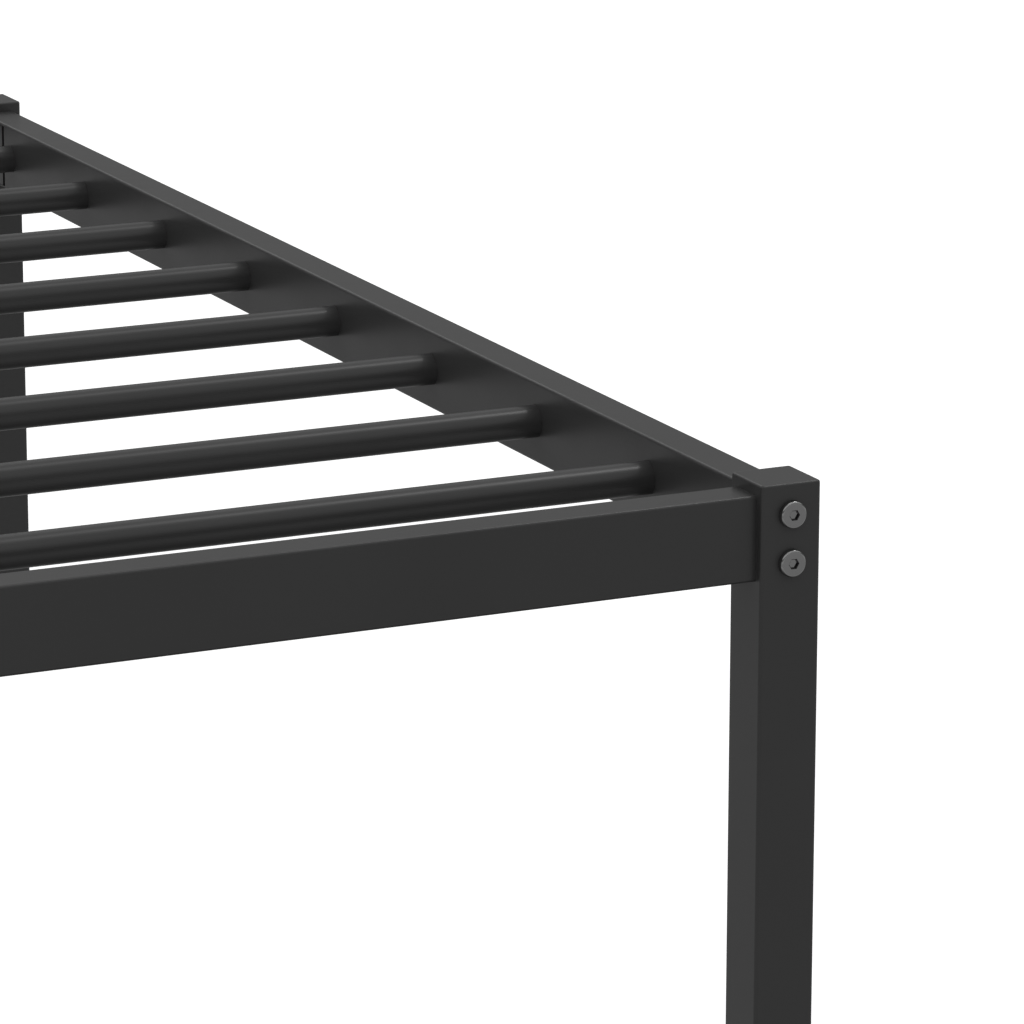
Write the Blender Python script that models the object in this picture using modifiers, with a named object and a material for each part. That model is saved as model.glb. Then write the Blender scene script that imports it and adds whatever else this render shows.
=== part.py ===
"""Metal bed frame for a single mattress, in metres with +Z up.

The frame stands on the floor at z = 0 and is centred on the origin. The foot end faces -Y and
the head end faces +Y. Six square posts carry it. An end rail is welded between the two corner
posts at each end. Each long side is two half rails: bolts through the corner post pull a half
rail's outer end against the post, and a channel bracket welded to the middle post slides into
its inner end. Round slat tubes plug into holes in the half rails' inner walls.
"""

import math

import bmesh
import bpy
from mathutils import Matrix

# Overall sizes
WIDTH = 0.960           # across the outer faces of the posts
HALF_SPAN = 0.995       # clear distance from a corner post to the middle post
HEIGHT = 0.350          # floor to post top

# Clearance between pieces that touch in the real frame
GAP = 0.0003

# Square post tube
POST = 0.030
POST_WALL = 0.0015

# Rectangular rail tube, centred on the posts
RAIL_WIDTH = 0.020
RAIL_HEIGHT = 0.040
RAIL_WALL = 0.0012
RAIL_DROP = 0.0054      # post top down to rail top

# Bends of the rectangular tubes
BEND_INSIDE = 0.0005    # inner radius of a tube's corner
BEND_STEPS = 2

# Slat tube
SLAT_DIAMETER = 0.016
SLAT_WALL = 0.001
SLATS_PER_HALF = 8
SLAT_FIRST = 0.093      # corner post's face to the first slat's axis
SLAT_MARGIN = 0.003     # rail wall left between the notch and the last slat's hole
SLAT_DEPTH = 0.0193     # rail top down to the slat's axis
SLAT_INSERT = 0.010     # how far a slat's end reaches past the rail's inner face
SLAT_SIDES = 24

# Bolts: low round head with a hexagon socket
BOLT_DIAMETER = 0.006
BOLT_EDGE = 0.00875     # rail edge to the nearer bolt's axis
BOLT_HEAD_DIAMETER = 0.0127
BOLT_HEAD_HEIGHT = 0.003
BOLT_HEAD_BEVEL = 0.0007
BOLT_TIP_CHAMFER = 0.0008
BOLT_SOCKET = 0.004     # across the flats
BOLT_SOCKET_DEPTH = 0.002
BOLT_SIDES = 16
BOLT_REACH = 0.003      # tip past the nut block
BOLT_SHORTFALL = 0.0005  # tip of a middle bolt short of the bracket's face

# Nut block welded inside the outer end of a half rail
NUT_BLOCK = 0.006

# Channel bracket on the middle post, flush in the notched inner wall of the half rail
BRACKET_LENGTH = 0.0347
BRACKET_WALL = 0.0025
NOTCH_SEAM = 0.0035     # open seam from the bracket's end to the notch's end

# Plastic glide pushed into the foot of a post
GLIDE_FLANGE = 0.003
GLIDE_PLUG = 0.014
GLIDE_ROUNDING = 0.001

# Worked out from the sizes above
POST_X = (WIDTH - POST) / 2
INNER_POST_FACE = POST / 2
OUTER_POST_FACE = INNER_POST_FACE + HALF_SPAN
END_POST_Y = OUTER_POST_FACE + POST / 2
POST_BASE = GLIDE_FLANGE + GAP
RAIL_TOP = HEIGHT - RAIL_DROP
RAIL_Z = RAIL_TOP - RAIL_HEIGHT / 2
RAIL_INNER_X = POST_X - RAIL_WIDTH / 2
RAIL_OUTER_X = POST_X + RAIL_WIDTH / 2
NOTCH_LENGTH = BRACKET_LENGTH + NOTCH_SEAM
NOTCH_HEIGHT = RAIL_HEIGHT - 2 * (RAIL_WALL + BEND_INSIDE)
SLAT_Z = RAIL_TOP - SLAT_DEPTH
SLAT_HOLE_RADIUS = SLAT_DIAMETER / 2 + GAP
SLAT_LAST = NOTCH_LENGTH + SLAT_MARGIN + SLAT_HOLE_RADIUS
SLAT_PITCH = (HALF_SPAN - SLAT_FIRST - SLAT_LAST) / (SLATS_PER_HALF - 1)
BOLT_HOLE_RADIUS = BOLT_DIAMETER / 2 + GAP
BOLT_HEIGHTS = {"upper": RAIL_TOP - BOLT_EDGE, "lower": RAIL_TOP - RAIL_HEIGHT + BOLT_EDGE}

# The sign of X on each side of the bed and of Y at each end
SIDES = {"right": 1, "left": -1}
ENDS = {"foot": -1, "head": 1}

AXIS_TURNS = {
    "X": Matrix.Rotation(math.pi / 2, 4, "Y"),
    "Y": Matrix.Rotation(math.pi / 2, 4, "X"),
    "Z": Matrix.Identity(4),
}


def clear_scene():
    """Remove every object that the scene starts with."""
    for item in list(bpy.data.objects):
        bpy.data.objects.remove(item, do_unlink=True)


def make_collection(name):
    """Return a new collection linked to the scene."""
    collection = bpy.data.collections.new(name)
    bpy.context.scene.collection.children.link(collection)
    return collection


def make_material(name, color, roughness, metallic):
    """Return a Principled material."""
    material = bpy.data.materials.new(name)
    material.use_nodes = True
    shader = material.node_tree.nodes["Principled BSDF"]
    shader.inputs["Base Color"].default_value = (*color, 1.0)
    shader.inputs["Roughness"].default_value = roughness
    shader.inputs["Metallic"].default_value = metallic
    return material


clear_scene()
FRAME = make_collection("metal_bed_frame")
TOOLS = make_collection("cutters")
PAINT = make_material("powder_coat", (0.035, 0.037, 0.038), 0.45, 0.0)
BOLT_STEEL = make_material("bolt_steel", (0.16, 0.16, 0.16), 0.35, 1.0)
GLIDE_PLASTIC = make_material("glide_plastic", (0.02, 0.02, 0.02), 0.6, 0.0)


def form_mesh(name, form):
    """Turn a bmesh into mesh data and free it."""
    mesh = bpy.data.meshes.new(name)
    form.to_mesh(mesh)
    form.free()
    return mesh


def add_part(name, form, material, location):
    """Add a named piece of the frame."""
    mesh = form_mesh(name, form)
    mesh.materials.append(material)
    part = bpy.data.objects.new(name, mesh)
    part.location = location
    FRAME.objects.link(part)
    return part


def add_tool(name, form, location):
    """Add a hidden shape that a Boolean uses."""
    tool = bpy.data.objects.new(name, form_mesh(name, form))
    tool.location = location
    tool.display_type = "WIRE"
    tool.hide_render = True
    TOOLS.objects.link(tool)
    return tool


def combine(part, tool, operation="DIFFERENCE"):
    """Cut a tool out of a part, or join it on with UNION."""
    step = part.modifiers.new(tool.name, "BOOLEAN")
    step.operation = operation
    step.solver = "EXACT"
    step.object = tool


def box(size):
    """Return a closed box centred on the origin."""
    form = bmesh.new()
    bmesh.ops.create_cube(form, size=1.0)
    bmesh.ops.scale(form, vec=size, verts=form.verts)
    form.normal_update()
    return form


def rod(radius, length, sides, axis, capped=True):
    """Return a cylinder centred on the origin along one axis."""
    form = bmesh.new()
    bmesh.ops.create_cone(form, cap_ends=capped, segments=sides, radius1=radius,
                          radius2=radius, depth=length)
    bmesh.ops.transform(form, matrix=AXIS_TURNS[axis], verts=form.verts)
    return form


def rounded_tube(size, long_axis, corner, closed_end=0):
    """Return the skin of a rectangular tube with rounded corners.

    closed_end is 1 or -1 to keep the end face on that side of the long axis, or 0 for none.
    """
    form = box(size)
    ends = [face for face in form.faces if abs(face.normal[long_axis]) > 0.5]
    opened = [face for face in ends if face.normal[long_axis] * closed_end <= 0]
    bmesh.ops.delete(form, geom=opened, context="FACES_ONLY")
    bends = [edge for edge in form.edges if len(edge.link_faces) == 2]
    bmesh.ops.bevel(form, geom=bends, offset=corner, segments=BEND_STEPS, profile=0.5,
                    affect="EDGES")
    return form


def thicken(part, wall):
    """Give an open skin its wall, growing inwards."""
    shell = part.modifiers.new("Wall", "SOLIDIFY")
    shell.thickness = wall
    shell.offset = -1.0
    shell.use_even_offset = True


def add_post(name, x, y):
    """Add a square post, open at the foot and closed at the top."""
    length = HEIGHT - POST_BASE
    skin = rounded_tube((POST, POST, length), 2, POST_WALL + BEND_INSIDE, closed_end=1)
    post = add_part(name, skin, PAINT, (x, y, POST_BASE + length / 2))
    thicken(post, POST_WALL)
    return post


def add_glide(name, x, y):
    """Add the plastic glide under a post, with its plug up inside the tube."""
    flange = box((POST, POST, GLIDE_FLANGE))
    rounded = [edge for edge in flange.edges if min(v.co.z for v in edge.verts) < 0]
    bmesh.ops.bevel(flange, geom=rounded, offset=GLIDE_ROUNDING, segments=2, profile=0.5,
                    affect="EDGES")
    glide = add_part(name, flange, GLIDE_PLASTIC, (x, y, GLIDE_FLANGE / 2))
    plug_width = POST - 2 * POST_WALL - 4 * GAP
    plug_length = GLIDE_PLUG + GLIDE_FLANGE / 2
    plug = box((plug_width, plug_width, plug_length))
    combine(glide, add_tool(f"{name}_plug", plug, (x, y, (GLIDE_FLANGE + plug_length) / 2)),
            "UNION")


def add_end_rail(end, sign):
    """Add the rail welded between the two corner posts of one end."""
    length = WIDTH - 2 * POST - 2 * GAP
    skin = rounded_tube((length, RAIL_WIDTH, RAIL_HEIGHT), 0, RAIL_WALL + BEND_INSIDE)
    rail = add_part(f"{end}_end_rail", skin, PAINT, (0.0, sign * END_POST_Y, RAIL_Z))
    thicken(rail, RAIL_WALL)


def slat_distance(index):
    """Return how far a slat's axis lies from the middle of the bed, counted from an end."""
    return OUTER_POST_FACE - SLAT_FIRST - index * SLAT_PITCH


def add_half_rail(corner, side, end):
    """Add one half of a side rail with its slat holes, notch and bolt holes."""
    length = HALF_SPAN - 2 * GAP
    skin = rounded_tube((RAIL_WIDTH, length, RAIL_HEIGHT), 1, RAIL_WALL + BEND_INSIDE)
    y = end * (INNER_POST_FACE + HALF_SPAN / 2)
    rail = add_part(f"{corner}_side_rail", skin, PAINT, (side * POST_X, y, RAIL_Z))
    thicken(rail, RAIL_WALL)

    cut_depth = 4 * RAIL_WALL
    hole = rod(SLAT_HOLE_RADIUS, cut_depth, SLAT_SIDES, "X")
    first = (side * RAIL_INNER_X, end * slat_distance(0), SLAT_Z)
    holes = add_tool(f"{corner}_slat_holes", hole, first)
    row = holes.modifiers.new("Row", "ARRAY")
    row.count = SLATS_PER_HALF
    row.use_relative_offset = False
    row.use_constant_offset = True
    row.constant_offset_displace = (0.0, -end * SLAT_PITCH, 0.0)
    combine(rail, holes)

    notch = box((cut_depth, 2 * NOTCH_LENGTH, NOTCH_HEIGHT))
    notch_place = (side * RAIL_INNER_X, end * INNER_POST_FACE, RAIL_Z)
    combine(rail, add_tool(f"{corner}_notch", notch, notch_place))

    for level, z in BOLT_HEIGHTS.items():
        bolt_hole = rod(BOLT_HOLE_RADIUS, cut_depth, BOLT_SIDES, "X")
        place = (side * RAIL_OUTER_X, end * middle_bolt_distance(), z)
        combine(rail, add_tool(f"{corner}_{level}_rail_hole", bolt_hole, place))


def middle_bolt_distance():
    """Return how far the middle bolts lie from the middle of the bed."""
    return INNER_POST_FACE + BRACKET_LENGTH / 2


def add_nut_block(corner, side, end):
    """Add the tapped block inside the outer end of a half rail."""
    width = RAIL_WIDTH - 2 * (RAIL_WALL + GAP)
    height = RAIL_HEIGHT - 2 * (RAIL_WALL + GAP)
    y = end * (OUTER_POST_FACE - GAP - NUT_BLOCK / 2)
    block = add_part(f"{corner}_nut_block", box((width, NUT_BLOCK, height)), BOLT_STEEL,
                     (side * POST_X, y, RAIL_Z))
    for level, z in BOLT_HEIGHTS.items():
        thread = rod(BOLT_HOLE_RADIUS, 2 * NUT_BLOCK, BOLT_SIDES, "Y")
        combine(block, add_tool(f"{corner}_{level}_thread", thread, (side * POST_X, y, z)))


def add_bracket(corner, side, end):
    """Add the channel bracket that carries a half rail's inner end."""
    length = BRACKET_LENGTH - GAP
    depth = RAIL_WIDTH - RAIL_WALL - GAP
    height = NOTCH_HEIGHT - 2 * GAP
    y = end * (INNER_POST_FACE + GAP + length / 2)
    x = side * (RAIL_INNER_X + depth / 2)
    bracket = add_part(f"{corner}_middle_bracket", box((depth, length, height)), PAINT,
                       (x, y, RAIL_Z))
    channel = box((depth, 2 * length, height - 2 * BRACKET_WALL))
    combine(bracket, add_tool(f"{corner}_channel", channel,
                              (x + side * BRACKET_WALL, y, RAIL_Z)))
    for level, z in BOLT_HEIGHTS.items():
        thread = rod(BOLT_HOLE_RADIUS, 4 * BRACKET_WALL, BOLT_SIDES, "X")
        place = (side * RAIL_INNER_X, end * middle_bolt_distance(), z)
        combine(bracket, add_tool(f"{corner}_{level}_bracket_thread", thread, place))


def bolt_profile(shank):
    """Return half of a bolt's outline as (radius, height) from tip to head."""
    radius = BOLT_DIAMETER / 2
    head = BOLT_HEAD_DIAMETER / 2
    return [
        (0.0, -shank),
        (radius - BOLT_TIP_CHAMFER, -shank),
        (radius, BOLT_TIP_CHAMFER - shank),
        (radius, 0.0),
        (head, 0.0),
        (head, BOLT_HEAD_HEIGHT - BOLT_HEAD_BEVEL),
        (head - BOLT_HEAD_BEVEL, BOLT_HEAD_HEIGHT),
        (0.0, BOLT_HEAD_HEIGHT),
    ]


def add_bolt(name, shank, location, rotation):
    """Add a bolt whose head's underside is at location and whose head points along local +Z."""
    outline = bmesh.new()
    points = [outline.verts.new((radius, 0.0, z)) for radius, z in bolt_profile(shank)]
    for start, stop in zip(points, points[1:]):
        outline.edges.new((start, stop))
    bolt = add_part(name, outline, BOLT_STEEL, location)
    bolt.rotation_euler = rotation

    turn = bolt.modifiers.new("Turn", "SCREW")
    turn.axis = "Z"
    turn.steps = BOLT_SIDES
    turn.render_steps = BOLT_SIDES
    turn.use_merge_vertices = True
    turn.merge_threshold = 0.00001
    turn.use_normal_calculate = True

    socket = rod(BOLT_SOCKET / math.sqrt(3), 2 * BOLT_SOCKET_DEPTH, 6, "Z")
    tool = add_tool(f"{name}_socket", socket, (0.0, 0.0, BOLT_HEAD_HEIGHT))
    tool.parent = bolt
    combine(bolt, tool)


def add_corner_bolts(corner, side, end, post):
    """Add the two bolts through a corner post, and their holes."""
    shank = POST + 2 * GAP + NUT_BLOCK + BOLT_REACH
    face = END_POST_Y + POST / 2 + GAP
    turn = (-end * math.pi / 2, 0.0, 0.0)
    for level, z in BOLT_HEIGHTS.items():
        hole = rod(BOLT_HOLE_RADIUS, 2 * POST, BOLT_SIDES, "Y")
        place = (side * POST_X, end * END_POST_Y, z)
        combine(post, add_tool(f"{corner}_{level}_post_hole", hole, place))
        add_bolt(f"{corner}_{level}_bolt", shank, (side * POST_X, end * face, z), turn)


def add_middle_bolts(corner, side, end):
    """Add the two bolts through a half rail's outer wall into its middle bracket."""
    shank = RAIL_WIDTH + GAP - BOLT_SHORTFALL
    turn = (0.0, side * math.pi / 2, 0.0)
    for level, z in BOLT_HEIGHTS.items():
        place = (side * (RAIL_OUTER_X + GAP), end * middle_bolt_distance(), z)
        add_bolt(f"{corner}_middle_{level}_bolt", shank, place, turn)


def add_slats():
    """Add the slat tubes, numbered from the foot end to the head end."""
    foot_half = [-slat_distance(index) for index in range(SLATS_PER_HALF)]
    head_half = [-y for y in reversed(foot_half)]
    length = 2 * (RAIL_INNER_X + SLAT_INSERT)
    for number, y in enumerate(foot_half + head_half, start=1):
        skin = rod(SLAT_DIAMETER / 2, length, SLAT_SIDES, "X", capped=False)
        slat = add_part(f"slat_{number:02d}", skin, PAINT, (0.0, y, SLAT_Z))
        thicken(slat, SLAT_WALL)


def build_frame():
    """Build every piece of the bed frame."""
    for side_name, side in SIDES.items():
        for end_name, end in ENDS.items():
            corner = f"{end_name}_{side_name}"
            post = add_post(f"{corner}_post", side * POST_X, end * END_POST_Y)
            add_glide(f"{corner}_glide", side * POST_X, end * END_POST_Y)
            add_half_rail(corner, side, end)
            add_nut_block(corner, side, end)
            add_bracket(corner, side, end)
            add_corner_bolts(corner, side, end, post)
            add_middle_bolts(corner, side, end)
        add_post(f"middle_{side_name}_post", side * POST_X, 0.0)
        add_glide(f"middle_{side_name}_glide", side * POST_X, 0.0)
    for end_name, end in ENDS.items():
        add_end_rail(end_name, end)
    add_slats()


build_frame()
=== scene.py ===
"""Studio scene of a single metal bed frame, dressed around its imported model.

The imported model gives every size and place. Each class below builds one kind of piece from it:
posts, end rails, weld beads, half side rails, slats, bolts and glides. The finishes come first,
the studio last, and main() builds the scene in order.
"""

import logging
import math
from dataclasses import dataclass
from enum import Enum

import bmesh
import bpy
from mathutils import Euler, Matrix, Vector


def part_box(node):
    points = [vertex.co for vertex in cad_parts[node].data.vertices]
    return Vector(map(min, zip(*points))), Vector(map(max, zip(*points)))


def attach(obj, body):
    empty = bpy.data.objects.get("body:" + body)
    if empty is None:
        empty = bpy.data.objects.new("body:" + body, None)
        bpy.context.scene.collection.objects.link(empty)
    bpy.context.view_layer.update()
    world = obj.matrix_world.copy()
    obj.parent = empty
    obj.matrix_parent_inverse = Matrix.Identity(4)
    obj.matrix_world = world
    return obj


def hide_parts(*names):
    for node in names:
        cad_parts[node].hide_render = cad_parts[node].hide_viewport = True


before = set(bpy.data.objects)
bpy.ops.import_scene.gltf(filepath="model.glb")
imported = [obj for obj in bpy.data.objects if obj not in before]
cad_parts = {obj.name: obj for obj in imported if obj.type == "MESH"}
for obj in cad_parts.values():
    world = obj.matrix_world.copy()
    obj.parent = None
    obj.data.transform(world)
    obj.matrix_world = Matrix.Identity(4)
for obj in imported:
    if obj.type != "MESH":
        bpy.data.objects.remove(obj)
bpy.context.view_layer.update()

log = logging.getLogger("bed_frame")

MM = 0.001
BODY = "root"
# Face attribute for the socket faces that get painted shade.
RECESS = "recess"
SHANK_DIAMETER = 6.0 * MM
HOLE_ROOM = 0.6 * MM
SLATS_PER_HALF = 8
NOISE_LOW, NOISE_HIGH = 0.3, 0.7
FACES_ALONG = 0.9  # part of a normal along an axis, for faces that point that way


class Side(Enum):
    """The two long sides, with the sign of X on each."""

    RIGHT = 1
    LEFT = -1


class End(Enum):
    """The two ends of the bed, with the sign of Y at each."""

    FOOT = -1
    HEAD = 1


class Slot(Enum):
    """The record's material slots."""

    PAINT = "powder_coat"
    STEEL = "bolt_steel"
    PLASTIC = "glide_plastic"


@dataclass(frozen=True)
class Finish:
    """A surface finish: a base colour with fine relief and slow variation.

    Attributes:
        name: material name.
        slot: record slot that the finish belongs to.
        color: base colour, linear RGB.
        shade: share by which the colour drifts over the surface.
        roughness: middle roughness.
        roughness_drift: how far the roughness drifts either way.
        metallic: 0 for paint and plastic, 1 for bare metal.
        specular: specular level of the shader.
        grain: size of the relief's bumps, in metres.
        relief: height of the relief, in metres.
        dark_recess: whether faces marked as a recess are darkened with painted shade.
        grime: painted shade colour of those faces, linear RGB.
        shade_scale: scale of the colour's noise.
        roughness_scale: scale of the roughness's noise.
    """

    name: str
    slot: Slot
    color: tuple[float, float, float]
    shade: float
    roughness: float
    roughness_drift: float
    metallic: float
    specular: float
    grain: float
    relief: float
    dark_recess: bool = False
    grime: tuple[float, float, float] = (0.03, 0.03, 0.03)
    shade_scale: float = 9.0
    roughness_scale: float = 40.0

    def material(self) -> bpy.types.Material:
        """Return the finish's material, built on first use.

        Returns:
            The node material.
        """
        made = bpy.data.materials.get(self.name)
        if made is not None:
            return made
        made = bpy.data.materials.new(self.name)
        made.use_nodes = True
        made.diffuse_color = (*self.color, 1.0)
        tree = made.node_tree
        shader = tree.nodes["Principled BSDF"]
        shader.inputs["Metallic"].default_value = self.metallic
        shader.inputs["Specular IOR Level"].default_value = self.specular
        place = tree.nodes.new("ShaderNodeTexCoord")
        self._add_color(tree, place, shader)
        self._add_roughness(tree, place, shader)
        self._add_relief(tree, place, shader)
        return made

    def _add_color(self, tree: bpy.types.NodeTree, place: bpy.types.Node,
                   shader: bpy.types.Node) -> None:
        """Let the colour drift slowly over the surface.

        Args:
            tree: the material's node tree.
            place: the texture coordinate node.
            shader: the Principled node.
        """
        cloud = tree.nodes.new("ShaderNodeTexNoise")
        cloud.inputs["Scale"].default_value = self.shade_scale
        cloud.inputs["Detail"].default_value = 4.0
        ramp = tree.nodes.new("ShaderNodeValToRGB")
        low, high = ramp.color_ramp.elements
        low.position, high.position = NOISE_LOW, NOISE_HIGH
        low.color = (*(part * (1 - self.shade) for part in self.color), 1.0)
        high.color = (*(part * (1 + self.shade) for part in self.color), 1.0)
        tree.links.new(place.outputs["Object"], cloud.inputs["Vector"])
        tree.links.new(cloud.outputs["Fac"], ramp.inputs["Fac"])
        if not self.dark_recess:
            tree.links.new(ramp.outputs["Color"], shader.inputs["Base Color"])
            return
        # Painted shade: faces marked as a recess are mixed towards a dark colour.
        recess = tree.nodes.new("ShaderNodeAttribute")
        recess.attribute_name = RECESS
        blend = tree.nodes.new("ShaderNodeMix")
        blend.data_type = "RGBA"
        factor, _, _, _, _, _, unshaded, painted_shade, *_ = blend.inputs
        mixed = blend.outputs[2]
        painted_shade.default_value = (*self.grime, 1.0)
        tree.links.new(recess.outputs["Fac"], factor)
        tree.links.new(ramp.outputs["Color"], unshaded)
        tree.links.new(mixed, shader.inputs["Base Color"])

    def _add_roughness(self, tree: bpy.types.NodeTree, place: bpy.types.Node,
                       shader: bpy.types.Node) -> None:
        """Let the roughness drift a little around its middle value.

        Args:
            tree: the material's node tree.
            place: the texture coordinate node.
            shader: the Principled node.
        """
        cloud = tree.nodes.new("ShaderNodeTexNoise")
        cloud.inputs["Scale"].default_value = self.roughness_scale
        cloud.inputs["Detail"].default_value = 3.0
        spread = tree.nodes.new("ShaderNodeMapRange")
        spread.inputs["From Min"].default_value = NOISE_LOW
        spread.inputs["From Max"].default_value = NOISE_HIGH
        spread.inputs["To Min"].default_value = self.roughness - self.roughness_drift
        spread.inputs["To Max"].default_value = self.roughness + self.roughness_drift
        tree.links.new(place.outputs["Object"], cloud.inputs["Vector"])
        tree.links.new(cloud.outputs["Fac"], spread.inputs["Value"])
        tree.links.new(spread.outputs["Result"], shader.inputs["Roughness"])

    def _add_relief(self, tree: bpy.types.NodeTree, place: bpy.types.Node,
                    shader: bpy.types.Node) -> None:
        """Add the fine relief: orange peel on paint, and grain on plastic and steel.

        Args:
            tree: the material's node tree.
            place: the texture coordinate node.
            shader: the Principled node.
        """
        grain = tree.nodes.new("ShaderNodeTexNoise")
        grain.inputs["Scale"].default_value = 1.0 / self.grain
        grain.inputs["Detail"].default_value = 2.0
        bump = tree.nodes.new("ShaderNodeBump")
        bump.inputs["Strength"].default_value = 1.0
        bump.inputs["Distance"].default_value = self.relief
        tree.links.new(place.outputs["Object"], grain.inputs["Vector"])
        tree.links.new(grain.outputs["Fac"], bump.inputs["Height"])
        tree.links.new(bump.outputs["Normal"], shader.inputs["Normal"])


PAINT = Finish("satin_powder_coat", Slot.PAINT, (0.0545, 0.0545, 0.0545), 0.05, 0.33, 0.02,
               0.0, 0.5, 1.6 * MM, 0.005 * MM)
# The steel's socket walls and mouth are darkened with painted shade.
STEEL = Finish("dark_zinc", Slot.STEEL, (0.38, 0.38, 0.38), 0.06, 0.12, 0.02,
               1.0, 0.5, 0.5 * MM, 0.004 * MM, dark_recess=True)
PLASTIC = Finish("moulded_glide_plastic", Slot.PLASTIC, (0.03, 0.03, 0.03), 0.05, 0.55,
                 0.03, 0.0, 0.4, 0.6 * MM, 0.012 * MM)


def add_object(name: str, mesh: bpy.types.Mesh) -> bpy.types.Object:
    """Link a new object to the scene.

    Args:
        name: object name.
        mesh: its mesh data.

    Returns:
        The new object.
    """
    made = bpy.data.objects.new(name, mesh)
    bpy.context.scene.collection.objects.link(made)
    return made


def form_object(name: str, form: bmesh.types.BMesh) -> bpy.types.Object:
    """Turn a bmesh into an object and free it.

    Args:
        name: object name.
        form: the shape.

    Returns:
        The new object.
    """
    mesh = bpy.data.meshes.new(name)
    form.to_mesh(mesh)
    form.free()
    return add_object(name, mesh)


def settled(source: bpy.types.Object, name: str) -> bpy.types.Object:
    """Replace an object that has live modifiers by a plain mesh at the origin.

    Args:
        source: the object to settle; it is removed.
        name: name of the plain piece.

    Returns:
        The plain piece.
    """
    depsgraph = bpy.context.evaluated_depsgraph_get()
    evaluated = source.evaluated_get(depsgraph)
    mesh = bpy.data.meshes.new_from_object(evaluated, preserve_all_data_layers=True,
                                           depsgraph=depsgraph)
    mesh.transform(source.matrix_world)
    mesh.name = name
    bpy.data.objects.remove(source, do_unlink=True)
    return add_object(name, mesh)


def dress(piece: bpy.types.Object, finish: Finish, nodes: list[str]) -> None:
    """Give a piece its finish and body, and hide the CAD nodes that it stands for.

    Args:
        piece: the plain piece.
        finish: its finish.
        nodes: the CAD nodes it replaces.
    """
    piece.data.materials.clear()
    piece.data.materials.append(finish.material())
    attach(piece, BODY)
    if nodes:
        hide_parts(*nodes)
    log.info("%s: %d faces, stands for %d nodes", piece.name, len(piece.data.polygons),
             len(nodes))


def smooth(piece: bpy.types.Object, sharp_above: float = 35.0) -> None:
    """Shade a piece smooth with flat faces kept flat and hard edges kept hard.

    Args:
        piece: the object whose mesh is shaded.
        sharp_above: edges that turn by more than this many degrees stay hard.
    """
    piece.data.shade_smooth()
    piece.data.set_sharp_from_angle(angle=math.radians(sharp_above))
    weigh = piece.modifiers.new("Flat faces", "WEIGHTED_NORMAL")
    weigh.keep_sharp = True
    weigh.weight = 100


def box_form(size: Vector) -> bmesh.types.BMesh:
    """Return a closed box centred on the origin.

    Args:
        size: its three sizes.

    Returns:
        The shape.
    """
    form = bmesh.new()
    bmesh.ops.create_cube(form, size=1.0)
    bmesh.ops.scale(form, vec=size, verts=form.verts)
    form.normal_update()
    return form


def rod_object(name: str, radius: float, length: float, axis: Vector, centre: Vector,
               sides: int = 48) -> bpy.types.Object:
    """Return a closed cylinder, used as a cutting tool.

    Args:
        name: object name.
        radius: its radius.
        length: its length.
        axis: the direction it runs in.
        centre: its middle.
        sides: how many faces go round it.

    Returns:
        The cylinder.
    """
    form = bmesh.new()
    bmesh.ops.create_cone(form, cap_ends=True, segments=sides, radius1=radius,
                          radius2=radius, depth=length)
    turn = axis.to_track_quat("Z", "Y").to_matrix().to_4x4()
    bmesh.ops.transform(form, matrix=Matrix.Translation(centre) @ turn, verts=form.verts)
    return form_object(name, form)


def cut(target: bpy.types.Object, tools: list[bpy.types.Object]) -> bpy.types.Object:
    """Cut tools out of an object and settle it.

    Args:
        target: the object to cut.
        tools: closed shapes; they are removed afterwards.

    Returns:
        The cut object as a plain mesh.
    """
    for tool in tools:
        step = target.modifiers.new(tool.name, "BOOLEAN")
        step.operation = "DIFFERENCE"
        step.solver = "EXACT"
        step.object = tool
    name = target.name
    target.name = f"{name}_uncut"
    done = settled(target, name)
    for tool in tools:
        bpy.data.objects.remove(tool, do_unlink=True)
    return done


@dataclass(frozen=True)
class Span:
    """The box of a CAD node.

    Attributes:
        low: lowest corner.
        high: highest corner.
    """

    low: Vector
    high: Vector

    @classmethod
    def of(cls, node: str) -> "Span":
        """Return the box of a CAD node at rest."""
        low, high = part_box(node)
        return cls(Vector(low), Vector(high))

    @property
    def size(self) -> Vector:
        """Return the box's three sizes."""
        return self.high - self.low

    @property
    def centre(self) -> Vector:
        """Return the box's middle."""
        return (self.low + self.high) / 2


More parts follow.
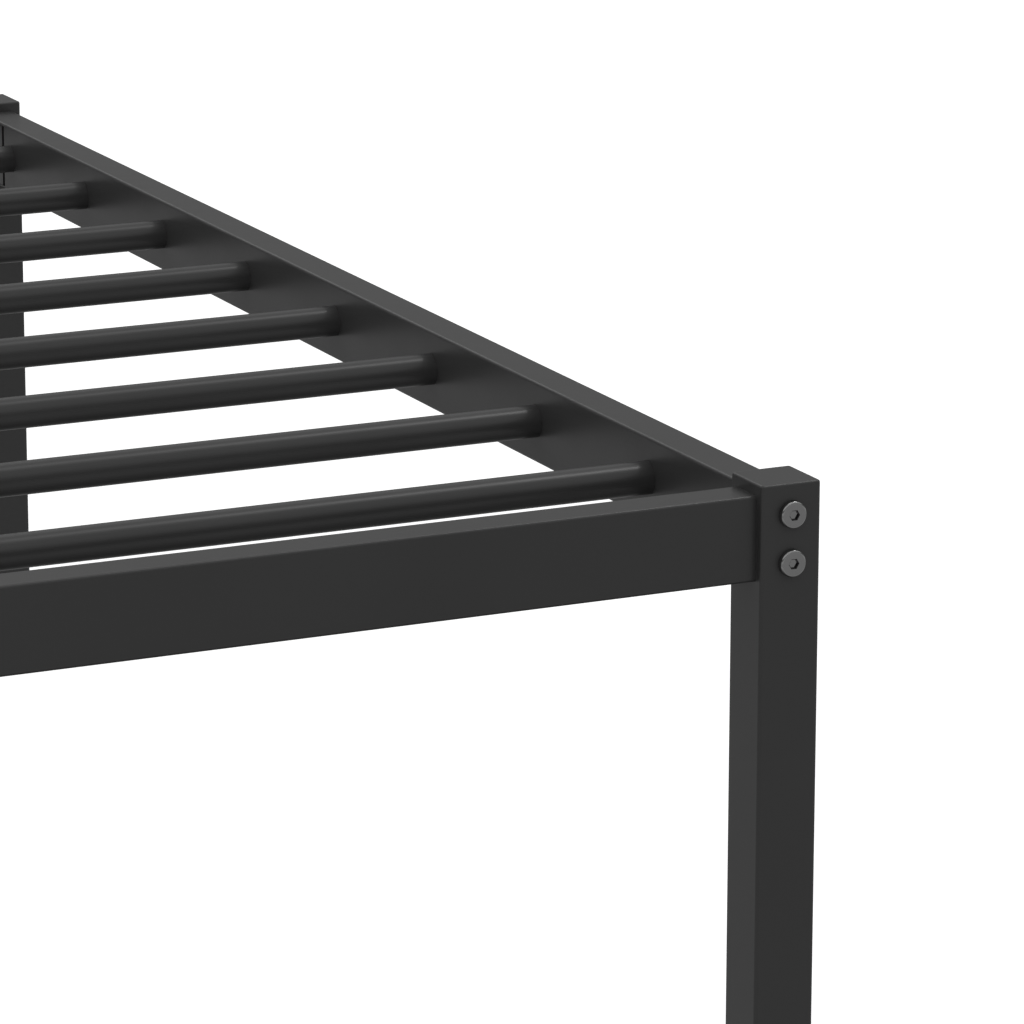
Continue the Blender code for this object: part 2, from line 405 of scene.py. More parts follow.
@dataclass(frozen=True)
class Tube:
    """Rectangular steel tube with bent corners.

    Attributes:
        wall: wall thickness.
        bend: outer radius of the corners.
        rim: rounding round a closed top.
        steps: faces across a corner.
        rim_steps: faces across the rounding of a closed top.
        least_bend: smallest inner radius of the corners.
    """

    wall: float
    bend: float
    rim: float = 1.2 * MM
    steps: int = 6
    rim_steps: int = 4
    least_bend: float = 0.2 * MM

    def _bar(self, size: Vector, axis: int, bend: float) -> bmesh.types.BMesh:
        """Return a closed bar, centred on the origin, with its long edges rounded.

        Args:
            size: its three sizes.
            axis: 0, 1 or 2, the axis it runs along.
            bend: radius of the long edges.

        Returns:
            The shape.
        """
        form = box_form(size)
        along = [edge for edge in form.edges
                 if abs(edge.verts[0].co[axis] - edge.verts[1].co[axis]) > size[axis] / 2]
        bmesh.ops.bevel(form, geom=along, offset=bend, segments=self.steps, profile=0.5,
                        affect="EDGES")
        form.normal_update()
        return form

    def solid(self, name: str, span: Span, axis: int, closed_top: bool) -> bpy.types.Object:
        """Return the outside of a length of tube that fills a box.

        Args:
            name: object name.
            span: the box it fills.
            axis: 0, 1 or 2, the axis it runs along.
            closed_top: whether the end on the positive side is closed and rounded.

        Returns:
            The closed solid, still without its bore.
        """
        form = self._bar(span.size, axis, self.bend)
        if closed_top:
            lid = {face for face in form.faces if face.normal[axis] > FACES_ALONG}
            rim = [edge for edge in form.edges
                   if sum(face in lid for face in edge.link_faces) == 1]
            bmesh.ops.bevel(form, geom=rim, offset=self.rim, segments=self.rim_steps,
                            profile=0.5, affect="EDGES")
        bmesh.ops.translate(form, vec=span.centre, verts=form.verts)
        return form_object(name, form)

    def bore(self, name: str, span: Span, axis: int, closed_top: bool) -> bpy.types.Object:
        """Return the tool that hollows a length of tube.

        Args:
            name: object name.
            span: the box the tube fills.
            axis: 0, 1 or 2, the axis it runs along.
            closed_top: whether the end on the positive side stays closed.

        Returns:
            The cutting tool.
        """
        size = span.size - Vector((2, 2, 2)) * self.wall
        size[axis] = 2 * span.size[axis]
        form = self._bar(size, axis, max(self.bend - self.wall, self.least_bend))
        centre = span.centre
        if closed_top:
            centre[axis] = span.high[axis] - self.wall - span.size[axis]
        bmesh.ops.translate(form, vec=centre, verts=form.verts)
        return form_object(name, form)


POST_TUBE = Tube(wall=1.5 * MM, bend=1.7 * MM)
RAIL_TUBE = Tube(wall=1.2 * MM, bend=1.5 * MM)


@dataclass
class Posts:
    """The six square posts.

    Attributes:
        tube: the tube they are cut from.
    """

    tube: Tube = POST_TUBE

    def build(self) -> None:
        """Build the posts, with bolt holes through the corner ones."""
        for side in Side:
            for end in End:
                corner = f"{end.name}_{side.name}".lower()
                self._add(f"{corner}_post", [f"{corner}_upper_bolt", f"{corner}_lower_bolt"])
            self._add(f"middle_{side.name.lower()}_post", [])

    def _add(self, node: str, bolts: list[str]) -> None:
        """Build one post.

        Args:
            node: the CAD node it stands for.
            bolts: the CAD nodes of the bolts that go through it.
        """
        span = Span.of(node)
        post = self.tube.solid(f"{node}_tube", span, 2, closed_top=True)
        tools = [self.tube.bore(f"{node}_bore", span, 2, closed_top=True)]
        for bolt in bolts:
            place = Span.of(bolt).centre
            place.y = span.centre.y
            tools.append(rod_object(f"{bolt}_hole", (SHANK_DIAMETER + HOLE_ROOM) / 2,
                                    2 * span.size.y, Vector((0, 1, 0)), place))
        post = cut(post, tools)
        smooth(post)
        dress(settled(post, f"{node}_painted"), PAINT, [node])


@dataclass
class EndRails:
    """The rails welded between the corner posts of each end.

    Attributes:
        tube: the tube they are cut from.
    """

    tube: Tube = RAIL_TUBE

    def build(self) -> None:
        """Build both rails, each reaching right up to its posts."""
        for end in End:
            node = f"{end.name.lower()}_end_rail"
            span = Span.of(node)
            reach = Span.of(f"{end.name.lower()}_right_post").low.x
            span = Span(Vector((-reach, span.low.y, span.low.z)),
                        Vector((reach, span.high.y, span.high.z)))
            rail = self.tube.solid(f"{node}_tube", span, 0, closed_top=False)
            rail = cut(rail, [self.tube.bore(f"{node}_bore", span, 0, closed_top=False)])
            smooth(rail)
            dress(settled(rail, f"{node}_painted"), PAINT, [node])


@dataclass
class SideRails:
    """The four half rails, with slat holes, bracket notch and bolt holes.

    Attributes:
        tube: the tube they are cut from.
        slat_room: how much wider a slat hole is than the slat.
        seam: open seam beyond the bracket's end.
        notch_room: how much the notch is higher than the bracket at its top and bottom.
    """

    tube: Tube = RAIL_TUBE
    slat_room: float = 0.06 * MM
    seam: float = 3.5 * MM
    notch_room: float = 0.3 * MM

    def build(self) -> None:
        """Build the four half rails."""
        for side in Side:
            for end in End:
                self._add(side, end)

    def _slat_numbers(self, end: End) -> range:
        """Return the numbers of the slats in one half of the bed."""
        first = 1 if end is End.FOOT else 1 + SLATS_PER_HALF
        return range(first, first + SLATS_PER_HALF)

    def _add(self, side: Side, end: End) -> None:
        """Build one half rail.

        Args:
            side: the side of the bed it is on.
            end: the end of the bed it is at.
        """
        corner = f"{end.name}_{side.name}".lower()
        node = f"{corner}_side_rail"
        span = Span.of(node)
        rail = self.tube.solid(f"{node}_tube", span, 1, closed_top=False)
        inner_x = span.low.x if side is Side.RIGHT else span.high.x
        outer_x = span.high.x if side is Side.RIGHT else span.low.x
        along_x = Vector((1, 0, 0))
        depth = 4 * self.tube.wall
        tools = [self.tube.bore(f"{node}_bore", span, 1, closed_top=False)]
        for number in self._slat_numbers(end):
            slat = Span.of(f"slat_{number:02d}")
            centre = Vector((inner_x, slat.centre.y, slat.centre.z))
            radius = (slat.size.z + self.slat_room) / 2
            tools.append(rod_object(f"{node}_slat_{number}", radius, depth, along_x, centre))
        for level in ("upper", "lower"):
            bolt = Span.of(f"{corner}_middle_{level}_bolt")
            centre = Vector((outer_x, bolt.centre.y, bolt.centre.z))
            tools.append(rod_object(f"{node}_{level}", (SHANK_DIAMETER + HOLE_ROOM) / 2, depth,
                                    along_x, centre))
        tools.append(self._notch(f"{node}_notch", f"{corner}_middle_bracket", inner_x, depth,
                                 end))
        rail = cut(rail, tools)
        smooth(rail)
        dress(settled(rail, f"{node}_painted"), PAINT, [node])

    def _notch(self, name: str, bracket: str, inner_x: float, depth: float,
               end: End) -> bpy.types.Object:
        """Return the tool that opens the inner wall for the bracket.

        Args:
            name: object name.
            bracket: the bracket's CAD node.
            inner_x: X of the rail's inner face.
            depth: how deep the tool reaches across the wall.
            end: the end of the bed the rail is at.

        Returns:
            The cutting tool.
        """
        span = Span.of(bracket)
        form = box_form(Vector((depth, 2 * (span.size.y + self.seam),
                                span.size.z + 2 * self.notch_room)))
        near_post = span.low.y if end is End.HEAD else span.high.y
        centre = Vector((inner_x, near_post, span.centre.z))
        bmesh.ops.translate(form, vec=centre, verts=form.verts)
        return form_object(name, form)


class TreeKit:
    """Wires up one geometry node tree with named inputs."""

    def __init__(self, name: str) -> None:
        """Start an empty tree.

        Args:
            name: the tree's name.
        """
        self.tree = bpy.data.node_groups.new(name, "GeometryNodeTree")
        self.tree.interface.new_socket("Geometry", in_out="OUTPUT",
                                       socket_type="NodeSocketGeometry")
        self.inputs = self.tree.nodes.new("NodeGroupInput")
        self.output = self.tree.nodes.new("NodeGroupOutput")

    def ask(self, name: str, kind: str) -> bpy.types.NodeSocket:
        """Add a named input to the tree.

        Args:
            name: the input's name.
            kind: "Float", "Int", "Vector", "Object", "Geometry" or "Material".

        Returns:
            The socket inside the tree that carries it.
        """
        self.tree.interface.new_socket(name, in_out="INPUT", socket_type=f"NodeSocket{kind}")
        return self.inputs.outputs[name]

    def node(self, kind: str, settings: dict | None = None, **feeds: object) -> bpy.types.Node:
        """Add a node and feed its inputs.

        Args:
            kind: the node's full type name, such as GeometryNodeTransform.
            settings: node properties to set.
            feeds: input name, with _ for a space, to a socket or a plain value.

        Returns:
            The node.
        """
        made = self.tree.nodes.new(kind)
        for name, value in (settings or {}).items():
            setattr(made, name, value)
        for name, value in feeds.items():
            socket = made.inputs[name.replace("_", " ")]
            if isinstance(value, bpy.types.NodeSocket):
                self.tree.links.new(value, socket)
            else:
                socket.default_value = value
        return made

    def math(self, operation: str, first: object,
             second: object = 0.0) -> bpy.types.NodeSocket:
        """Return the result of a Math node.

        Args:
            operation: the Math node's operation.
            first: a socket or a number.
            second: a socket or a number; a sine leaves it out.

        Returns:
            The output socket.
        """
        made = self.tree.nodes.new("ShaderNodeMath")
        made.operation = operation
        for socket, value in zip(made.inputs, (first, second)):
            if isinstance(value, bpy.types.NodeSocket):
                self.tree.links.new(value, socket)
            else:
                socket.default_value = value
        return made.outputs[0]

    def finish(self, geometry: bpy.types.NodeSocket,
               material: bpy.types.NodeSocket) -> bpy.types.NodeTree:
        """End the tree in realised, finished geometry.

        Args:
            geometry: what the tree made.
            material: the material input.

        Returns:
            The finished tree.
        """
        real = self.node("GeometryNodeRealizeInstances", Geometry=geometry)
        dressed = self.node("GeometryNodeSetMaterial", Geometry=real.outputs[0],
                            Material=material)
        self.tree.links.new(dressed.outputs[0], self.output.inputs["Geometry"])
        return self.tree


def grow(tree: bpy.types.NodeTree, name: str, values: dict[str, object],
         path: bpy.types.Mesh | None = None) -> bpy.types.Object:
    """Run a geometry node tree and return its result as a plain mesh.

    Args:
        tree: the tree.
        name: name of the piece.
        values: input name to value.
        path: the mesh that the tree starts from, where it needs one.

    Returns:
        The plain piece.
    """
    seed = add_object(f"{name}_seed", path or bpy.data.meshes.new(f"{name}_seed"))
    run = seed.modifiers.new("Build", "NODES")
    run.node_group = tree
    for item in tree.interface.items_tree:
        if item.item_type == "SOCKET" and item.name in values:
            run[item.identifier] = values[item.name]
    return settled(seed, name)


def slat_tree() -> bpy.types.NodeTree:
    """Return the tree that makes a row of slat tubes.

    Each tube is a rounded wall section swept round a circle, then repeated along a line.

    Returns:
        The tree.
    """
    kit = TreeKit("slat_row")
    diameter, wall = kit.ask("Diameter", "Float"), kit.ask("Wall", "Float")
    length, rounding = kit.ask("Length", "Float"), kit.ask("End rounding", "Float")
    count, first = kit.ask("Count", "Int"), kit.ask("First slat", "Vector")
    step, material = kit.ask("Step", "Vector"), kit.ask("Material", "Material")
    sides, rounding_steps = 64, 2

    middle = kit.math("MULTIPLY", kit.math("SUBTRACT", diameter, wall), 0.5)
    ring = kit.node("GeometryNodeCurvePrimitiveCircle", Resolution=sides, Radius=middle)
    upright = kit.node("GeometryNodeSetCurveNormal", {"mode": "Z_UP"}, Curve=ring.outputs[0])
    section = kit.node("GeometryNodeCurvePrimitiveQuadrilateral", Width=wall, Height=length)
    rounded = kit.node("GeometryNodeFilletCurve", {"mode": "POLY"}, Curve=section.outputs[0],
                       Count=rounding_steps, Radius=rounding)
    tube = kit.node("GeometryNodeCurveToMesh", Curve=upright.outputs[0],
                    Profile_Curve=rounded.outputs[0])
    across = kit.node("GeometryNodeTransform", Geometry=tube.outputs[0],
                      Rotation=(0.0, math.pi / 2, 0.0))
    line = kit.node("GeometryNodeMeshLine", Count=count, Start_Location=first, Offset=step)
    row = kit.node("GeometryNodeInstanceOnPoints", Points=line.outputs[0],
                   Instance=across.outputs[0])
    return kit.finish(row.outputs[0], material)


def pattern_tree() -> bpy.types.NodeTree:
    """Return the tree that sets copies of a piece out on a grid of columns.

    Each column holds the same number of levels, and every copy's +Z points outwards from the
    middle of the bed along the axes that Outward keeps.

    Returns:
        The tree.
    """
    kit = TreeKit("set_out")
    item, material = kit.ask("Item", "Object"), kit.ask("Material", "Material")
    width, length = kit.ask("Width", "Float"), kit.ask("Length", "Float")
    across, along = kit.ask("Across", "Int"), kit.ask("Along", "Int")
    levels, base = kit.ask("Levels", "Int"), kit.ask("Base", "Vector")
    step, outward = kit.ask("Level step", "Vector"), kit.ask("Outward", "Vector")

    grid = kit.node("GeometryNodeMeshGrid", Size_X=width, Size_Y=length, Vertices_X=across,
                    Vertices_Y=along)
    column = kit.node("GeometryNodeMeshLine", Count=levels, Start_Location=base, Offset=step)
    columns = kit.node("GeometryNodeInstanceOnPoints", Points=grid.outputs[0],
                       Instance=column.outputs[0])
    places = kit.node("GeometryNodeRealizeInstances", Geometry=columns.outputs[0])
    here = kit.node("GeometryNodeInputPosition")
    facing = kit.tree.nodes.new("ShaderNodeVectorMath")
    facing.operation = "MULTIPLY"
    kit.tree.links.new(here.outputs[0], facing.inputs[0])
    kit.tree.links.new(outward, facing.inputs[1])
    turn = kit.node("FunctionNodeAlignRotationToVector", {"axis": "Z"},
                    Vector=facing.outputs[0])
    thing = kit.node("GeometryNodeObjectInfo", Object=item)
    copies = kit.node("GeometryNodeInstanceOnPoints", Points=places.outputs[0],
                      Instance=thing.outputs["Geometry"], Rotation=turn.outputs[0])
    return kit.finish(copies.outputs[0], material)


def bead_tree() -> bpy.types.NodeTree:
    """Return the tree that lays a rippled weld bead along every edge of a mesh.

    Returns:
        The tree.
    """
    kit = TreeKit("weld_bead")
    path, radius = kit.ask("Path", "Geometry"), kit.ask("Radius", "Float")
    pitch, material = kit.ask("Pitch", "Float"), kit.ask("Material", "Material")
    rings_a_ripple, bluntness, end_width, ripple_depth = 6.0, 8.0, 0.35, 0.1
    sides = 16

    lines = kit.node("GeometryNodeMeshToCurve", Mesh=path)
    fine = kit.node("GeometryNodeResampleCurve", {"mode": "LENGTH"}, Curve=lines.outputs[0],
                    Length=kit.math("DIVIDE", pitch, rings_a_ripple))
    along = kit.node("GeometryNodeSplineParameter")
    from_middle = kit.math("SUBTRACT", kit.math("MULTIPLY", along.outputs["Factor"], 2.0), 1.0)
    taper = kit.math("SUBTRACT", 1.0, kit.math("POWER", from_middle, bluntness))
    turn = kit.math("MULTIPLY", kit.math("DIVIDE", along.outputs["Length"], pitch), math.tau)
    wave = kit.math("MULTIPLY", kit.math("SINE", turn), ripple_depth)
    ripple = kit.math("ADD", wave, 1.0 - ripple_depth)
    swell = kit.math("MULTIPLY", kit.math("MAXIMUM", taper, end_width), ripple)
    ring = kit.node("GeometryNodeCurvePrimitiveCircle", Resolution=sides, Radius=radius)
    bead = kit.node("GeometryNodeCurveToMesh", Curve=fine.outputs[0],
                    Profile_Curve=ring.outputs[0], Scale=swell, Fill_Caps=True)
    return kit.finish(bead.outputs[0], material)


@dataclass
class WeldBeads:
    """The weld beads that hold the end rails to the corner posts.

    Attributes:
        radius: radius of a bead.
        pitch: distance between its ripples.
        clear: how far a bead stays behind the rail's outer face and below its top.
        inset: how far a bead stays from the rail's lower and inner edges.
    """

    radius: float = 1.8 * MM
    pitch: float = 1.6 * MM
    clear: float = 6.0 * MM
    inset: float = 1.0 * MM

    def build(self) -> None:
        """Build a bead under each end of each rail and one up its inner face."""
        lines: list[tuple[Vector, Vector]] = []
        for end in End:
            for side in Side:
                lines += self._joint(side, end)
        mesh = bpy.data.meshes.new("weld_lines")
        points = [point for line in lines for point in line]
        mesh.from_pydata(points, [(2 * index, 2 * index + 1) for index in range(len(lines))],
                         [])
        values = {"Radius": self.radius, "Pitch": self.pitch, "Material": PAINT.material()}
        beads = grow(bead_tree(), "weld_lines", values, mesh)
        smooth(beads)
        dress(settled(beads, "weld_beads"), PAINT, [])

    def _joint(self, side: Side, end: End) -> list[tuple[Vector, Vector]]:
        """Return the lines of the two beads at one end of a rail.

        Args:
            side: the side of the bed.
            end: the end of the bed.

        Returns:
            The first and last point of each bead.
        """
        rail = Span.of(f"{end.name.lower()}_end_rail")
        x = side.value * Span.of("foot_right_post").low.x
        inner, outer = rail.high.y, rail.low.y
        if end is End.HEAD:
            inner, outer = outer, inner
        inward = -end.value
        under = (Vector((x, outer + inward * self.clear, rail.low.z)),
                 Vector((x, inner - inward * self.inset, rail.low.z)))
        upright = (Vector((x, inner, rail.low.z + self.inset)),
                   Vector((x, inner, rail.high.z - self.clear)))
        return [under, upright]


@dataclass
class Slats:
    """The two rows of round slat tubes.

    Attributes:
        wall: wall thickness.
        end_rounding: rounding of the cut ends.
    """

    wall: float = 1.0 * MM
    end_rounding: float = 0.2 * MM

    def build(self) -> None:
        """Build both rows."""
        tree = slat_tree()
        for number, end in enumerate(End):
            nodes = [f"slat_{number * SLATS_PER_HALF + index + 1:02d}"
                     for index in range(SLATS_PER_HALF)]
            spans = [Span.of(node) for node in nodes]
            values = {
                "Diameter": spans[0].size.z,
                "Wall": self.wall,
                "Length": spans[0].size.x,
                "End rounding": self.end_rounding,
                "Count": SLATS_PER_HALF,
                "First slat": spans[0].centre,
                "Step": spans[1].centre - spans[0].centre,
                "Material": PAINT.material(),
            }
            row = grow(tree, f"{end.name.lower()}_slats_row", values)
            smooth(row)
            dress(settled(row, f"{end.name.lower()}_slats"), PAINT, nodes)


@dataclass
class Bolts:
    """The furniture bolts: a low round head with a hexagon socket, and a threaded shank.

    Attributes:
        head_diameter: across the head.
        head_height: height of the head.
        bevel: rounding of the head's rim.
        shank_diameter: across the shank.
        socket: across the flats of the socket.
        socket_depth: depth of the socket.
        socket_turn: degrees that the socket is turned in the head.
        mouth: chamfer round the socket's mouth.
        tip: chamfer of the shank's tip.
        rim_steps: faces across the rim's rounding.
        sides: faces round the bolt.
        steepness: upward part of a normal below which a face is a wall of the socket.
    """

    head_diameter: float = 12.7 * MM
    head_height: float = 3.0 * MM
    bevel: float = 1.0 * MM
    shank_diameter: float = SHANK_DIAMETER
    tip: float = 0.8 * MM
    socket: float = 4.0 * MM
    socket_depth: float = 1.3 * MM
    socket_turn: float = 30.0
    mouth: float = 0.35 * MM
    rim_steps: int = 8
    sides: int = 64
    steepness: float = 0.8

    def _outline(self, shank: float) -> list[tuple[float, float]]:
        """Return half of the bolt's outline as radius and height.

        Args:
            shank: length of the shank.

        Returns:
            The points, from the tip to the middle of the head.
        """
        radius = self.shank_diameter / 2
        head = self.head_diameter / 2
        turn = math.pi / 2 / self.rim_steps
        rim = [(head - self.bevel * (1 - math.cos(index * turn)),
                self.head_height - self.bevel * (1 - math.sin(index * turn)))
               for index in range(self.rim_steps + 1)]
        return [(0.0, -shank), (radius - self.tip, -shank), (radius, self.tip - shank),
                (radius, 0.0), (head, 0.0), *rim, (0.0, self.head_height)]

    def _master(self, name: str, shank: float) -> bpy.types.Object:
        """Return one bolt with its head's underside at the origin and its head towards +Z.

        Args:
            name: object name.
            shank: length of the shank.

        Returns:
            The bolt as a plain mesh.
        """
        form = bmesh.new()
        points = [form.verts.new((radius, 0.0, z)) for radius, z in self._outline(shank)]
        edges = [form.edges.new(pair) for pair in zip(points, points[1:])]
        bmesh.ops.spin(form, geom=[*points, *edges], cent=(0, 0, 0), axis=(0, 0, 1),
                       angle=2 * math.pi, steps=self.sides, use_merge=True)
        bmesh.ops.remove_doubles(form, verts=form.verts, dist=0.001 * MM)
        bmesh.ops.recalc_face_normals(form, faces=form.faces)
        bolt = form_object(name, form)
        corner = self.socket / math.sqrt(3)
        tool = rod_object(f"{name}_socket", corner, 2 * self.socket_depth, Vector((0, 0, 1)),
                          Vector((0, 0, self.head_height)), sides=6)
        tool.data.transform(Matrix.Rotation(math.radians(self.socket_turn), 4, "Z"))
        bolt = cut(bolt, [tool, self._mouth(f"{name}_mouth", corner)])
        self._mark_socket(bolt.data, corner + self.mouth)
        smooth(bolt)
        return settled(bolt, f"{name}_master")

    def _mouth(self, name: str, corner: float) -> bpy.types.Object:
        """Return the tool that chamfers the socket's mouth.

        Args:
            name: object name.
            corner: radius of the socket at its corners.

        Returns:
            The cutting tool.
        """
        form = bmesh.new()
        bmesh.ops.create_cone(form, cap_ends=True, segments=6, radius1=corner - self.mouth,
                              radius2=corner + 3 * self.mouth, depth=4 * self.mouth)
        bmesh.ops.translate(form, vec=(0, 0, self.head_height), verts=form.verts)
        turn = Matrix.Rotation(math.radians(self.socket_turn), 4, "Z")
        bmesh.ops.transform(form, matrix=turn, verts=form.verts)
        return form_object(name, form)

    def _mark_socket(self, mesh: bpy.types.Mesh, reach: float) -> None:
        """Mark the walls and mouth of the socket as a recess that the finish darkens with
        painted shade.

        Args:
            mesh: the bolt's mesh.
            reach: radius within which walls belong to the socket.
        """
        mark = mesh.attributes.new(RECESS, "FLOAT", "FACE")
        for face in mesh.polygons:
            wall = abs(face.normal.z) < self.steepness and face.center.xy.length < reach
            mark.data[face.index].value = 1.0 if wall and face.center.z > 0 else 0.0

    def build(self) -> None:
        """Build the corner set and the middle set."""
        tree = pattern_tree()
        self._set(tree, "corner_bolts", "{end}_{side}_{level}_bolt", Vector((0, 1, 0)))
        self._set(tree, "middle_bolts", "{end}_{side}_middle_{level}_bolt",
                  Vector((1, 0, 0)))

    def _set(self, tree: bpy.types.NodeTree, name: str, naming: str,
             outward: Vector) -> None:
        """Build one set of eight bolts.

        Args:
            tree: the tree that sets copies out.
            name: name of the piece.
            naming: how the CAD nodes are named.
            outward: 1 on the axis that the heads face along.
        """
        nodes = [naming.format(end=end.name.lower(), side=side.name.lower(), level=level)
                 for end in End for side in Side for level in ("upper", "lower")]
        upper = Span.of(naming.format(end="head", side="right", level="upper"))
        lower = Span.of(naming.format(end="head", side="right", level="lower"))
        shank = outward.dot(upper.size) - self.head_height
        underside = lower.centre + outward * (outward.dot(lower.size) / 2 - self.head_height)
        master = self._master(name, shank)
        values = {
            "Item": master,
            "Material": STEEL.material(),
            "Width": 2 * underside.x,
            "Length": 2 * underside.y,
            "Across": 2,
            "Along": 2,
            "Levels": 2,
            "Base": Vector((0, 0, underside.z)),
            "Level step": upper.centre - lower.centre,
            "Outward": outward,
        }
        bolts = grow(tree, f"{name}_set", values)
        bpy.data.objects.remove(master, do_unlink=True)
        dress(bolts, STEEL, nodes)


@dataclass
class Glides:
    """The plastic glides under the posts.

    Attributes:
        flange: thickness of the flange that shows.
        rounding: rounding of its lower edge and of the plug's upright edges.
        plug_room: how much narrower the plug is than the post's inside.
    """

    flange: float = 3.0 * MM
    rounding: float = 1.0 * MM
    plug_room: float = 1.2 * MM

    def _master(self, span: Span) -> bpy.types.Object:
        """Return one glide standing at the origin, with its plug pointing up.

        Args:
            span: the box of a glide.

        Returns:
            The glide as a plain mesh.
        """
        form = box_form(Vector((span.size.x, span.size.y, self.flange)))
        low = [edge for edge in form.edges if min(v.co.z for v in edge.verts) < 0]
        bmesh.ops.bevel(form, geom=low, offset=self.rounding, segments=4, profile=0.5,
                        affect="EDGES")
        bmesh.ops.translate(form, vec=(0, 0, self.flange / 2), verts=form.verts)
        glide = form_object("glide", form)
        width = span.size.x - 2 * POST_TUBE.wall - self.plug_room
        height = span.size.z - self.flange / 2
        plug = box_form(Vector((width, width, height)))
        upright = [edge for edge in plug.edges
                   if abs(edge.verts[0].co.z - edge.verts[1].co.z) > height / 2]
        bmesh.ops.bevel(plug, geom=upright, offset=self.rounding, segments=3, profile=0.5,
                        affect="EDGES")
        bmesh.ops.translate(plug, vec=(0, 0, self.flange / 2 + height / 2), verts=plug.verts)
        stem = form_object("glide_plug", plug)
        join = glide.modifiers.new("Plug", "BOOLEAN")
        join.operation = "UNION"
        join.solver = "EXACT"
        join.object = stem
        glide = settled(glide, "glide_joined")
        bpy.data.objects.remove(stem, do_unlink=True)
        smooth(glide)
        return settled(glide, "glide_master")

    def build(self) -> None:
        """Build the six glides."""
        nodes = [f"{place}_{side.name.lower()}_glide" for side in Side
                 for place in ("foot", "middle", "head")]
        corner = Span.of("head_right_glide")
        master = self._master(corner)
        values = {
            "Item": master,
            "Material": PLASTIC.material(),
            "Width": 2 * corner.centre.x,
            "Length": 2 * corner.centre.y,
            "Across": 2,
            "Along": 3,
            "Levels": 1,
            "Base": Vector((0, 0, corner.low.z)),
            "Level step": Vector((0, 0, 1)),
            "Outward": Vector((0, 0, 0)),
        }
        glides = grow(pattern_tree(), "glides", values)
        bpy.data.objects.remove(master, do_unlink=True)
        dress(glides, PLASTIC, nodes)


def dress_kept_nodes() -> None:
    """Give the nut blocks and brackets, which stay as CAD nodes, their finishes."""
    for side in Side:
        for end in End:
            corner = f"{end.name}_{side.name}".lower()
            for node, finish in ((f"{corner}_nut_block", STEEL),
                                 (f"{corner}_middle_bracket", PAINT)):
                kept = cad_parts[node]
                kept.data.materials.clear()
                kept.data.materials.append(finish.material())
                log.info("%s: kept, in %s", node, finish.name)


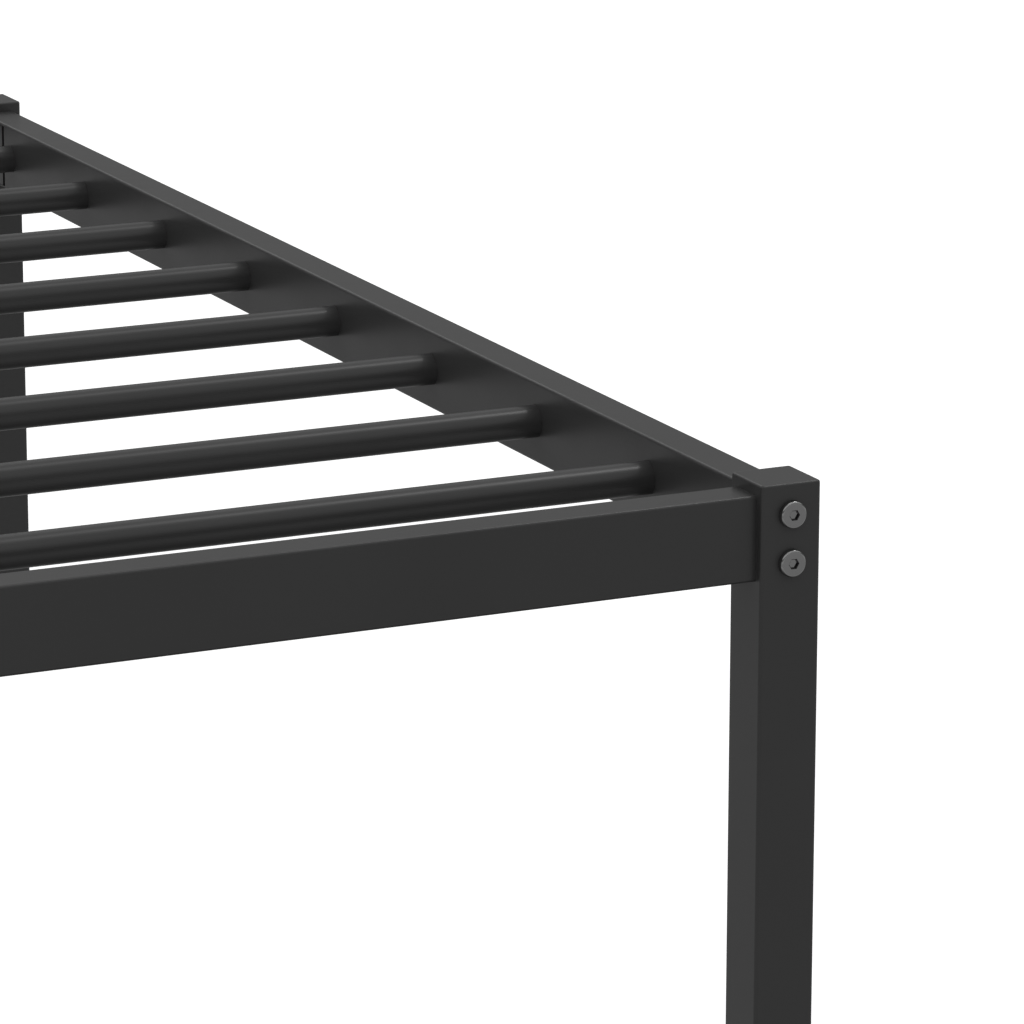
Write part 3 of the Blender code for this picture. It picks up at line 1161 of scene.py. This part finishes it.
@dataclass(frozen=True)
class Studio:
    """Camera, light and floor.

    Attributes:
        stand: camera place from the near corner post's inner front edge at its top.
        heading: degrees that the camera turns from +Y towards +X.
        tilt: degrees that it looks down.
        roll: degrees that it is turned about its own axis.
        lens: focal length, in millimetres.
        sensor: sensor width, in millimetres.
        reach: how far the camera sees.
        glow: height on the sky, from -1 straight down to 1 overhead, and brightness there.
        lamps: name, direction it comes from, degrees it spans and strength of each lamp.
        floor_size: width of the floor.
        floor_glow: light that the floor gives off, so that it stays pale in shade.
        floor_roughness: roughness of the floor.
    """

    stand: tuple[float, float, float] = (-1.12164, -2.10961, 0.61398)
    heading: float = 25.328
    tilt: float = 14.693
    roll: float = 0.099
    lens: float = 194.571
    sensor: float = 36.0
    reach: float = 200.0
    glow: tuple[tuple[float, float], ...] = (
        (-1.0, 0.0), (-0.5, 0.42), (-0.3, 0.29), (-0.15, 0.36), (0.0, 0.48), (0.15, 0.145),
        (0.3, 0.175), (0.45, 0.57), (0.72, 0.60), (0.82, 0.52), (0.9, 0.35), (1.0, 0.2),
    )
    lamps: tuple[tuple[str, tuple[float, float, float], float, float], ...] = (
        ("key", (0.52, 0.1, 0.87), 9.0, 0.30),
        ("rim", (0.08, 0.87, 0.46), 20.0, 0.06),
    )
    floor_size: float = 60.0
    floor_glow: float = 0.58
    floor_roughness: float = 0.9

    def build(self) -> None:
        """Build the studio."""
        self._camera()
        self._world()
        self._lamps()
        self._floor()
        bpy.context.scene.view_settings.view_transform = "Standard"

    def _camera(self) -> None:
        """Set the camera in front of the foot end."""
        data = bpy.data.cameras.new("camera")
        data.lens = self.lens
        data.sensor_width = self.sensor
        data.clip_end = self.reach
        camera = bpy.data.objects.new("camera", data)
        bpy.context.scene.collection.objects.link(camera)
        post = Span.of("foot_right_post")
        corner = Vector((post.low.x, post.low.y, post.high.z))
        turn = Euler((math.radians(90 - self.tilt), 0.0, math.radians(-self.heading)), "XYZ")
        spin = Matrix.Rotation(math.radians(self.roll), 4, "Z")
        place = Matrix.Translation(corner + Vector(self.stand))
        camera.matrix_world = place @ turn.to_matrix().to_4x4() @ spin
        bpy.context.scene.camera = camera

    def _world(self) -> None:
        """Light the scene with a soft gradient from overhead to below."""
        world = bpy.data.worlds.new("studio")
        world.use_nodes = True
        bpy.context.scene.world = world
        tree = world.node_tree
        place = tree.nodes.new("ShaderNodeTexCoord")
        split = tree.nodes.new("ShaderNodeSeparateXYZ")
        ramp = tree.nodes.new("ShaderNodeValToRGB")
        remap = tree.nodes.new("ShaderNodeMapRange")
        remap.inputs["From Min"].default_value = -1.0
        remap.inputs["From Max"].default_value = 1.0
        stops = ramp.color_ramp.elements
        for index, (height, brightness) in enumerate(self.glow):
            position = (height + 1) / 2
            stop = stops[0] if index == 0 else stops.new(position)
            stop.position = position
            stop.color = (brightness, brightness, brightness, 1.0)
        stops.remove(stops[len(self.glow)])
        seen = tree.nodes.new("ShaderNodeLightPath")
        pale = tree.nodes.new("ShaderNodeBackground")
        swap = tree.nodes.new("ShaderNodeMixShader")
        pale.inputs["Color"].default_value = (1.0, 1.0, 1.0, 1.0)
        soft = tree.nodes["Background"]
        tree.links.new(place.outputs["Generated"], split.inputs[0])
        tree.links.new(split.outputs["Z"], remap.inputs["Value"])
        tree.links.new(remap.outputs["Result"], ramp.inputs["Fac"])
        tree.links.new(ramp.outputs["Color"], soft.inputs["Color"])
        tree.links.new(seen.outputs["Is Camera Ray"], swap.inputs["Fac"])
        tree.links.new(soft.outputs["Background"], swap.inputs[1])
        tree.links.new(pale.outputs["Background"], swap.inputs[2])
        tree.links.new(swap.outputs["Shader"], tree.nodes["World Output"].inputs["Surface"])

    def _lamps(self) -> None:
        """Add the soft lamps: a key high up on the right and a rim light behind."""
        for name, direction, width, power in self.lamps:
            data = bpy.data.lights.new(name, "SUN")
            data.energy = power
            data.angle = math.radians(width)
            lamp = bpy.data.objects.new(name, data)
            bpy.context.scene.collection.objects.link(lamp)
            lamp.rotation_euler = Vector(direction).to_track_quat("Z", "Y").to_euler()

    def _floor(self) -> None:
        """Lay the pale floor, which takes shadows but throws no light back."""
        form = bmesh.new()
        bmesh.ops.create_grid(form, x_segments=1, y_segments=1, size=self.floor_size / 2)
        floor = form_object("studio_floor", form)
        paper = bpy.data.materials.new("pale_paper")
        paper.use_nodes = True
        shader = paper.node_tree.nodes["Principled BSDF"]
        shader.inputs["Base Color"].default_value = (1.0, 1.0, 1.0, 1.0)
        shader.inputs["Roughness"].default_value = self.floor_roughness
        shader.inputs["Specular IOR Level"].default_value = 0.0
        shader.inputs["Emission Color"].default_value = (1.0, 1.0, 1.0, 1.0)
        shader.inputs["Emission Strength"].default_value = self.floor_glow
        floor.data.materials.append(paper)
        floor.visible_diffuse = False
        floor.visible_glossy = False


def main() -> None:
    """Build the dressed bed frame and the studio around it."""
    logging.basicConfig(level=logging.INFO, format="%(name)s: %(message)s")
    Studio().build()
    for pieces in (Posts(), EndRails(), WeldBeads(), SideRails(), Slats(), Bolts(), Glides()):
        pieces.build()
    dress_kept_nodes()


if __name__ == "__main__":
    main()
